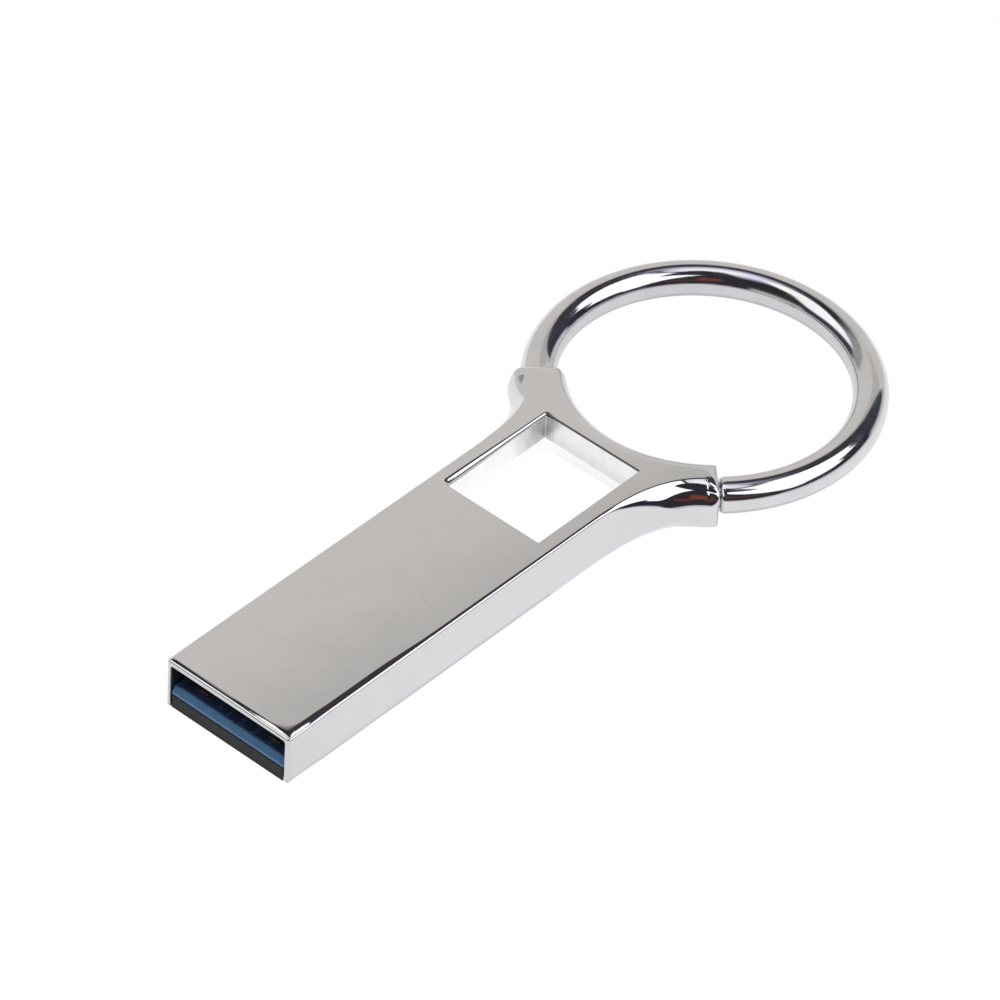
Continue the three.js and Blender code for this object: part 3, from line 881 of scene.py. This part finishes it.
class Sky:
    """The studio's cards and softboxes, laid over each other by azimuth and elevation.

    Azimuths run anticlockwise from +X, in degrees.
    """

    def __init__(self, tree):
        self.tree = tree
        direction = tree.nodes.new("ShaderNodeTexCoord").outputs["Generated"]
        self.x, self.y, self.z = components(tree, direction)
        self.elevation = self.z.math("ARCSINE").math("DEGREES")
        self.color = self.room()

    def room(self):
        node = self.tree.nodes.new("ShaderNodeValToRGB")
        feed(self.tree, node.inputs[0], (self.elevation + 90) / 180)
        ramp = node.color_ramp
        while len(ramp.elements) < len(ROOM_LEVELS):
            ramp.elements.new(0.5)
        for element, (elevation, color) in zip(ramp.elements, ROOM_LEVELS):
            element.position = (elevation + 90) / 180
            element.color = (*seen(*color), 1.0)
        return Field(self.tree, node.outputs[0])

    def azimuth_from(self, centre):
        """Degrees of azimuth from a centre, from -180 to 180."""
        c, s = math.cos(math.radians(centre)), math.sin(math.radians(centre))
        ahead = self.x * c + self.y * s
        aside = self.y * c - self.x * s
        return aside.math("ARCTAN2", ahead).math("DEGREES")

    def lay(self, color, mask):
        self.color = blend(self.tree, mask, self.color, color)

    def card(self, color, azimuths, elevations, soft, corner=4.0, trim=None):
        """A rounded card between two azimuths and two elevations with edges of one softness."""
        half = [(azimuths[1] - azimuths[0]) / 2, (elevations[1] - elevations[0]) / 2]
        middle = [sum(azimuths) / 2, sum(elevations) / 2]
        across = self.azimuth_from(middle[0]).math("ABSOLUTE") - (half[0] - corner)
        above = (self.elevation - middle[1]).math("ABSOLUTE") - (half[1] - corner)
        outside = (across.math("MAXIMUM", 0.0).math("POWER", 2.0)
                   + above.math("MAXIMUM", 0.0).math("POWER", 2.0)).math("SQRT")
        inside = across.math("MAXIMUM", above).math("MINIMUM", 0.0)
        distance = outside + inside - corner
        mask = distance.ramp(soft / 2, -soft / 2)
        self.lay(color, mask * trim if trim else mask)

    def cap(self, color, azimuth, elevation, full, end):
        """A round patch: full strength up to one angle from its middle and gone at another."""
        a, e = math.radians(azimuth), math.radians(elevation)
        middle = (math.cos(a) * math.cos(e), math.sin(a) * math.cos(e), math.sin(e))
        cosine = self.x * middle[0] + self.y * middle[1] + self.z * middle[2]
        self.lay(color, cosine.math("ARCCOSINE").math("DEGREES").ramp(end, full))

    def dome(self, color, azimuth, half_width, top):
        """A card with a domed top that stands on the table."""
        power, soft = 2.5, 0.02
        across = (self.azimuth_from(azimuth).math("ABSOLUTE") / half_width).math("POWER", power)
        above = (self.elevation.math("MAXIMUM", 0.0) / top).math("POWER", power)
        mask = (across + above).ramp(1 + soft, 1 - soft)
        self.lay(color, mask * self.elevation.ramp(-32, -22))


def lay_cards(sky):
    """A later card covers an earlier one."""
    # Left and far side: a soft box and gray walls, which show in the edges at the mouth.
    sky.cap(seen(247, 246, 240), -152, 61, 12, 17)
    sky.card(seen(138, 137, 140), (60, 200), (12, 49), 6)
    sky.card(seen(60, 58, 66), (-172, -118), (6, 29), 5)
    sky.card(seen(244, 243, 247), (-176, -124), (28, 56), 9, corner=10)
    # Right and far side: dark screens and a slanted white light, in the ring and the right edge.
    sky.card(seen(56, 53, 57), (64, 129), (16, 59), 5)
    sky.card(seen(52, 54, 66), (-21, 92), (14, 76), 3, corner=8)
    sky.card(seen(40, 40, 52), (-10, 62), (4, 34), 6)
    slant = sky.azimuth_from(60) - (sky.elevation.ramp(37, 49) * 15)
    sky.card(WHITE_LIGHT, (-6, 76), (33, 72), 2, corner=7, trim=slant.ramp(1, -1))
    # Near side: a dark screen with white lights and some brown, in the right arm's flare.
    sky.card(seen(44, 42, 48), (-78, -3), (2, 84), 4, corner=5)
    lean = sky.elevation + (sky.azimuth_from(0) * 0.85)
    sky.card(WHITE_LIGHT, (-44, 14), (18, 55), 3, corner=5, trim=lean.ramp(19, 21))
    sky.card(WHITE_LIGHT, (4, 42), (22, 44), 3, corner=4)
    sky.card(seen(112, 60, 50), (-58, -41), (24, 39), 6, corner=5)
    sky.card(seen(92, 52, 46), (-47, -18), (19, 25), 5, corner=3)
    # The gray card that shows in the flat top, a little darker over a slanting line.
    over_line = (sky.elevation - 42) - (sky.azimuth_from(131.5) * 0.5)
    gray = blend(sky.tree, over_line.ramp(0.2, 1.5), seen(191, 187, 185), seen(172, 170, 168))
    sky.dome(gray, 133, 45, 45.5)


def build_sky():
    """The cards light the object and show in it; the camera itself sees plain white."""
    world = bpy.data.worlds.new("studio")
    world.use_nodes = True
    tree = world.node_tree
    tree.nodes.clear()
    sky = Sky(tree)
    lay_cards(sky)
    background = tree.nodes.new("ShaderNodeBackground")
    feed(tree, background.inputs["Color"], sky.color)
    background.inputs["Strength"].default_value = BRIGHTEST
    backdrop = tree.nodes.new("ShaderNodeBackground")
    backdrop.inputs["Color"].default_value = (1, 1, 1, 1)
    camera_ray = tree.nodes.new("ShaderNodeLightPath").outputs["Is Camera Ray"]
    show(tree, camera_ray, background.outputs[0], backdrop.outputs[0], "ShaderNodeOutputWorld")
    bpy.context.scene.world = world


def table_glow(tree):
    """Brightness of the table in reflections, with painted shadows: duller far away, along and inside the
    ring, and under the drive.
    """
    place = tree.nodes.new("ShaderNodeTexCoord").outputs["Object"]
    x, y, _ = (axis / MM for axis in components(tree, place))
    north = y - RING_Y
    from_centre = (x * x + north * north).math("SQRT")
    from_wire = (from_centre - RING_RADIUS).math("ABSOLUTE")
    before_arms = y.ramp(WINDOW_BACK + 2.5, WINDOW_BACK + 1)
    # Painted contact shadow along the ring's wire, left out in front of the arms.
    contact = from_wire.ramp(0.3, 2.4, 0.66, 1.0).math("MAXIMUM", before_arms)
    # Painted shade inside the ring.
    inside = from_centre.ramp(RING_RADIUS - 2, RING_RADIUS + 2, 0.88, 1.0)
    # Painted shadow under the drive's body, from the mouth to the window.
    middle = (WINDOW_FRONT + MOUTH_Y) / 2
    beside = (x.math("ABSOLUTE") - HALF_WIDTH).math(
        "MAXIMUM", (y - middle).math("ABSOLUTE") + (MOUTH_Y - middle))
    painted_shadow_under_body = beside.ramp(-0.3, 0.5, 0.35, 1.0)
    # Painted falloff: the table's light dims far from the ring's centre.
    far = from_centre.ramp(35, 90, 1.0, 0.72)
    return (contact * inside).math("MINIMUM", painted_shadow_under_body) * far


def build_floor():
    """A white table just under the drive, which glows evenly where the camera sees it and carries painted
    shadows in reflections; from below it can't be seen.
    """
    material = bpy.data.materials.new("white_table")
    material.use_nodes = True
    tree = material.node_tree
    tree.nodes.clear()
    camera_ray = Field(tree, tree.nodes.new("ShaderNodeLightPath").outputs["Is Camera Ray"])
    reflected = table_glow(tree)
    glow = tree.nodes.new("ShaderNodeEmission")
    feed(tree, glow.inputs["Strength"], reflected + camera_ray * (reflected * -1 + 1))
    clear = tree.nodes.new("ShaderNodeBsdfTransparent")
    below = tree.nodes.new("ShaderNodeNewGeometry").outputs["Backfacing"]
    show(tree, below, glow.outputs[0], clear.outputs[0], "ShaderNodeOutputMaterial")
    half, drop = 1500.0, -0.05
    corners = [(-half, -half, drop), (half, -half, drop), (half, half, drop), (-half, half, drop)]
    mesh = bpy.data.meshes.new("table")
    mesh.from_pydata([Vector(c) * MM for c in corners], [], [(0, 1, 2, 3)])
    mesh.materials.append(material)
    add_object("table", mesh)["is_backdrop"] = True


def build_camera():
    """A long lens from the right of the mouth, looking down, with a slight roll."""
    azimuth, elevation, roll = (math.radians(a) for a in (39.589, 41.469, 3.57))
    target = Vector((-3.78, 0.39, 0)) * MM
    distance = 540.7 * MM
    back = Vector((
        math.sin(azimuth) * math.cos(elevation),
        -math.cos(azimuth) * math.cos(elevation),
        math.sin(elevation),
    ))
    data = bpy.data.cameras.new("camera")
    data.sensor_width = 36
    data.lens = 261.27
    data.clip_start, data.clip_end = 0.01, 10
    camera = add_object("camera", data)
    camera.rotation_mode = "QUATERNION"
    camera.rotation_quaternion = Quaternion(back, roll) @ (-back).to_track_quat("-Z", "Y")
    camera.location = target + back * distance
    bpy.context.scene.camera = camera


# ---- Materials ----------------------------
MIDDLE = (0.3, 0.7)           # where most of a noise Field's values are


class Surface:
    """A Principled material whose sockets take numbers or Fields."""

    def __init__(self, name, **sockets):
        self.material = bpy.data.materials.new(name)
        self.material.use_nodes = True
        self.tree = self.material.node_tree
        self.shader = self.tree.nodes["Principled BSDF"]
        self.where = self.tree.nodes.new("ShaderNodeTexCoord").outputs["Object"]
        for socket, value in sockets.items():
            self.set(socket.replace("_", " "), value)

    def set(self, socket, value):
        feed(self.tree, self.shader.inputs[socket], value)

    def noise(self, scale, detail=3.0, roughness=0.5, stretch=(1, 1, 1), turn=(0, 0, 0)):
        """Noise at a scale per millimetre, on stretched and turned coordinates."""
        mapping = self.tree.nodes.new("ShaderNodeMapping")
        mapping.inputs["Scale"].default_value = [s / MM for s in stretch]
        mapping.inputs["Rotation"].default_value = [math.radians(t) for t in turn]
        self.tree.links.new(self.where, mapping.inputs["Vector"])
        node = self.tree.nodes.new("ShaderNodeTexNoise")
        self.tree.links.new(mapping.outputs[0], node.inputs["Vector"])
        for socket, value in (("Scale", scale), ("Detail", detail), ("Roughness", roughness)):
            node.inputs[socket].default_value = value
        return Field(self.tree, node.outputs["Fac"])

    def axes(self):
        """Place on the object in millimetres, as three Fields."""
        return [axis / MM for axis in components(self.tree, self.where)]

    def tint(self, factor, first, second):
        """Colour from first to second as a factor goes from 0 to 1."""
        self.set("Base Color", blend(self.tree, factor, first, second))

    def cloud(self, scale, dimmer, bright):
        """Chrome whose brightness drifts between two shares of its own."""
        drift = self.noise(scale, detail=2.0).ramp(0.35, 0.65)
        self.tint(drift, [c * dimmer for c in CHROME], [c * bright for c in CHROME])

    def roughen(self, field, smoothest, roughest):
        """Roughness that follows a noise Field."""
        self.set("Roughness", field.ramp(*MIDDLE, smoothest, roughest))

    def bump(self, height, depth):
        """Raises the surface by a height Field times a depth in millimetres."""
        node = self.tree.nodes.new("ShaderNodeBump")
        node.inputs["Strength"].default_value = 1.0
        node.inputs["Distance"].default_value = depth * MM
        feed(self.tree, node.inputs["Height"], height)
        self.tree.links.new(node.outputs[0], self.shader.inputs["Normal"])


def chrome_material():
    """Mirror plating with faint cloudiness and a few hairlines near the mouth."""
    surface = Surface("chrome_polished", Metallic=1.0)
    x, y, z = surface.axes()
    surface.cloud(0.35, 0.985, 1.01)
    surface.set("Roughness", surface.noise(1.2, detail=4.0).ramp(0.3, 0.8, 0.015, 0.045))
    length, spacing, amount = 1.1, 0.06, 0.33
    stretch = (1 / length, 1 / spacing, 1 / spacing)
    lines = surface.noise(1.0, detail=1.0, stretch=stretch, turn=(0, 0, 28))
    patches = surface.noise(0.5, detail=1.0).ramp(0.5, 0.62)
    right_half = x.ramp(0.5, 2) * x.ramp(5.3, 5.0)
    on_top = z.ramp(4.3, 4.4) * right_half * y.ramp(-14, -18) * patches
    surface.bump(lines.ramp(1 - amount, 1.02 - amount) * on_top, 0.003)
    return surface.material


def wire_material():
    """The same plating on drawn wire: a softer mirror with fine lengthwise unevenness."""
    surface = Surface("chrome_wire", Metallic=1.0)
    surface.cloud(0.5, 0.97, 1.02)
    surface.roughen(surface.noise(1.0, detail=3.0), 0.07, 0.14)
    surface.bump(surface.noise(0.6, detail=1.0), 0.004)
    return surface.material


def lip_material():
    """The same plating on the window's upper edge, with painted shade: darker low down and at the far
    wall.
    """
    surface = Surface("chrome_lip", Metallic=1.0)
    _, y, height = surface.axes()
    below = height.ramp(4.22, 4.1)
    far = y.ramp(WINDOW_BACK - 0.02, WINDOW_BACK + 0.01)
    shaded = blend(surface.tree, below, CHROME, (0.33, 0.335, 0.37))
    surface.tint(far, shaded, (0.13, 0.125, 0.13))
    surface.roughen(surface.noise(2.0), 0.06, 0.14)
    return surface.material


def cast_material():
    """Plated but unpolished casting inside the window: satin and bright, with painted shade in the far
    left corner and low on the far wall.
    """
    surface = Surface("cast_satin", Metallic=1.0)
    x, y, z = surface.axes()
    smear_and_shade = surface.noise(1.1, detail=3.0, stretch=(1, 1, 0.4)).ramp(*MIDDLE, 0.7, 1.0)
    # Painted shade: the far left corner, broken up by the smear noise, and the far wall, more so low
    # down.
    corner = x.ramp(-2.4, -4.5) * y.ramp(1.8, 5.6) * smear_and_shade
    far_wall = y.ramp(WINDOW_BACK - 0.15, WINDOW_BACK - 0.05)
    low = z.ramp(3.8, 2.2)
    dimmer = (corner * 0.55).math("MAXIMUM", far_wall * (low * 0.16 + 0.1))
    surface.tint(dimmer, (1.0, 0.995, 0.985), (0.1, 0.1, 0.1))
    surface.set("Roughness", smear_and_shade.ramp(0.7, 1.0, 0.3, 0.4))
    return surface.material


def bright_casting_material():
    """The flare below the window: bright plating, a little uneven."""
    surface = Surface("cast_bright", Metallic=1.0, Roughness=0.2)
    surface.tint(surface.noise(1.5).ramp(*MIDDLE), (0.97, 0.97, 0.97), (1.0, 1.0, 1.0))
    return surface.material


# The plating inside the pocket, the notch and the bores, darkened as painted shade, with a fine grain.
def painted_shade_plating_material():
    surface = Surface("pocket_plating", Metallic=1.0, Roughness=0.4)
    grain = surface.noise(3.0, detail=4.0)
    surface.tint(grain.ramp(*MIDDLE), (0.16, 0.16, 0.17), (0.24, 0.24, 0.25))
    surface.bump(grain, 0.01)
    return surface.material


def brushed_material(name, first, second, stretch, roughness):
    """Bare or plated metal with fine variation, which can be drawn out into lines."""
    surface = Surface(name, Metallic=1.0)
    lines = surface.noise(1.0, detail=3.0, stretch=stretch)
    surface.tint(lines.ramp(*MIDDLE), first, second)
    surface.roughen(lines, *roughness)
    return surface.material


def plastic_material(name, first, second, roughness, grain=9.0, **sockets):
    """Moulded plastic with a fine spark-eroded texture."""
    surface = Surface(name, **sockets)
    fine = surface.noise(grain, detail=3.0)
    broad = surface.noise(1.4, detail=3.0)
    surface.tint(broad.ramp(0.35, 0.65), first, second)
    surface.roughen(fine, roughness * 0.85, roughness * 1.15)
    surface.bump(fine, 0.006)
    return surface.material


def board_material():
    """Dark blue solder mask with slightly raised traces running from mouth to rear."""
    surface = Surface("solder_mask")
    wander = surface.noise(0.35, detail=1.0) * 2.5
    stripes = ((surface.axes()[0] + wander) * 4.2).math("SINE")
    trace = stripes.ramp(0.55, 0.75)
    surface.tint(trace, (0.06, 0.1, 0.19), (0.09, 0.15, 0.27))
    surface.roughen(surface.noise(3.0), 0.25, 0.38)
    surface.bump(trace, 0.015)
    return surface.material


def silicon_material():
    """A bare die: a faint grid of memory blocks under a glassy surface."""
    surface = Surface("silicon_die", Metallic=0.6)
    x, y, _ = surface.axes()
    columns, rows = ((axis * pitch).math("SINE").math("ABSOLUTE") for axis, pitch in ((x, 9), (y, 6)))
    grid = columns.math("MINIMUM", rows)
    surface.tint(grid.ramp(0.06, 0.2), (0.08, 0.08, 0.1), (0.16, 0.15, 0.2))
    surface.roughen(surface.noise(5.0), 0.14, 0.24)
    return surface.material


def ceramic_material():
    """A chip capacitor: tan body with tinned caps at its two ends."""
    surface = Surface("ceramic_chip")
    low, high = box_mm("decoupling_capacitor_front")
    from_middle = (surface.axes()[0] - (low.x + high.x) / 2).math("ABSOLUTE")
    tinned = from_middle.ramp(0.27, 0.3)
    surface.tint(tinned, (0.4, 0.27, 0.16), (0.7, 0.7, 0.7))
    surface.set("Metallic", tinned)
    surface.roughen(surface.noise(8.0), 0.35, 0.55)
    surface.bump(surface.noise(12.0), 0.004)
    return surface.material


def foam_material():
    surface = Surface("foam_pad", Roughness=0.95)
    cells = surface.noise(9.0, detail=5.0, roughness=0.7)
    surface.tint(cells.ramp(0.35, 0.65), (0.018, 0.018, 0.02), (0.06, 0.06, 0.066))
    surface.bump(cells, 0.05)
    return surface.material



# ---- Assembly -----------------------------
def replace(obj, body, node):
    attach(obj, body)
    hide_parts(node)
    return obj


def assemble():
    chrome, dark = chrome_material(), painted_shade_plating_material()
    inside_window = cast_material(), lip_material(), bright_casting_material()
    steel = brushed_material("turned_steel", (0.6, 0.6, 0.61), (0.68, 0.68, 0.69), (12, 12, 12),
                             (0.1, 0.2))
    gold = brushed_material("gold_plating", (0.52, 0.35, 0.22), (0.64, 0.45, 0.3), (14, 1.2, 4),
                            (0.36, 0.5))
    black = plastic_material("black_lcp", (0.013, 0.013, 0.013), (0.017, 0.016, 0.016), 0.45,
                             Specular_IOR_Level=0.25)
    blue = plastic_material("blue_lcp", (0.075, 0.21, 0.42), (0.09, 0.24, 0.46), 0.38, grain=7.0)
    nylon = plastic_material("nylon_natural", (0.72, 0.71, 0.67), (0.78, 0.77, 0.73), 0.45)
    epoxy = plastic_material("epoxy_moulding", (0.012, 0.012, 0.012), (0.018, 0.018, 0.018), 0.6)
    replace(make_shell(chrome, *inside_window, dark), "drive", "shell")
    replace(make_key_ring(wire_material()), "ring", "key_ring")
    replace(make_latch_pin(steel), "ring", "latch_pin")
    replace(make_guide_bush(nylon), "drive", "guide_bush")
    spring = replace(make_return_spring(steel), "drive", "return_spring")
    blind_end = ring_point(BORE_END, 0, 0)
    tail = ring_point(TAIL_END, 0, 0)
    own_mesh(spring)
    replace(softened("carrier", "carrier_tray", 0.06, black), "drive", "carrier")
    replace(softened("contact_frame", "contact_frame_moulding", 0.05, blue), "drive", "contact_frame")
    replace(make_foam_pad(foam_material()), "drive", "adhesive_pad")
    contacts = sorted(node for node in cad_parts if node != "contact_frame")
    for prefix, ending, edge in (("contact_", "_pad", 0.02), ("spring_contact_", "_leaf", 0.03)):
        for node in contacts:
            if node.startswith(prefix):
                replace(softened(node, node + ending, edge, gold), "drive", node)
    silicon, ceramic = silicon_material(), ceramic_material()
    for node, material in (
        ("circuit_board", board_material()), ("module_moulding", epoxy),
        ("controller_die", silicon), ("flash_die", silicon), ("crystal", steel),
        ("decoupling_capacitor_front", ceramic), ("decoupling_capacitor_rear", ceramic),
    ):
        give_material(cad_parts[node].data, material)


bpy.context.scene.view_settings.view_transform = "Standard"
build_camera()
build_sky()
build_floor()
assemble()

boxes = {"cad": CAD_BOX, "visual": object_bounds()}
{name: [list(corner) for corner in box] for name, box in boxes.items()}
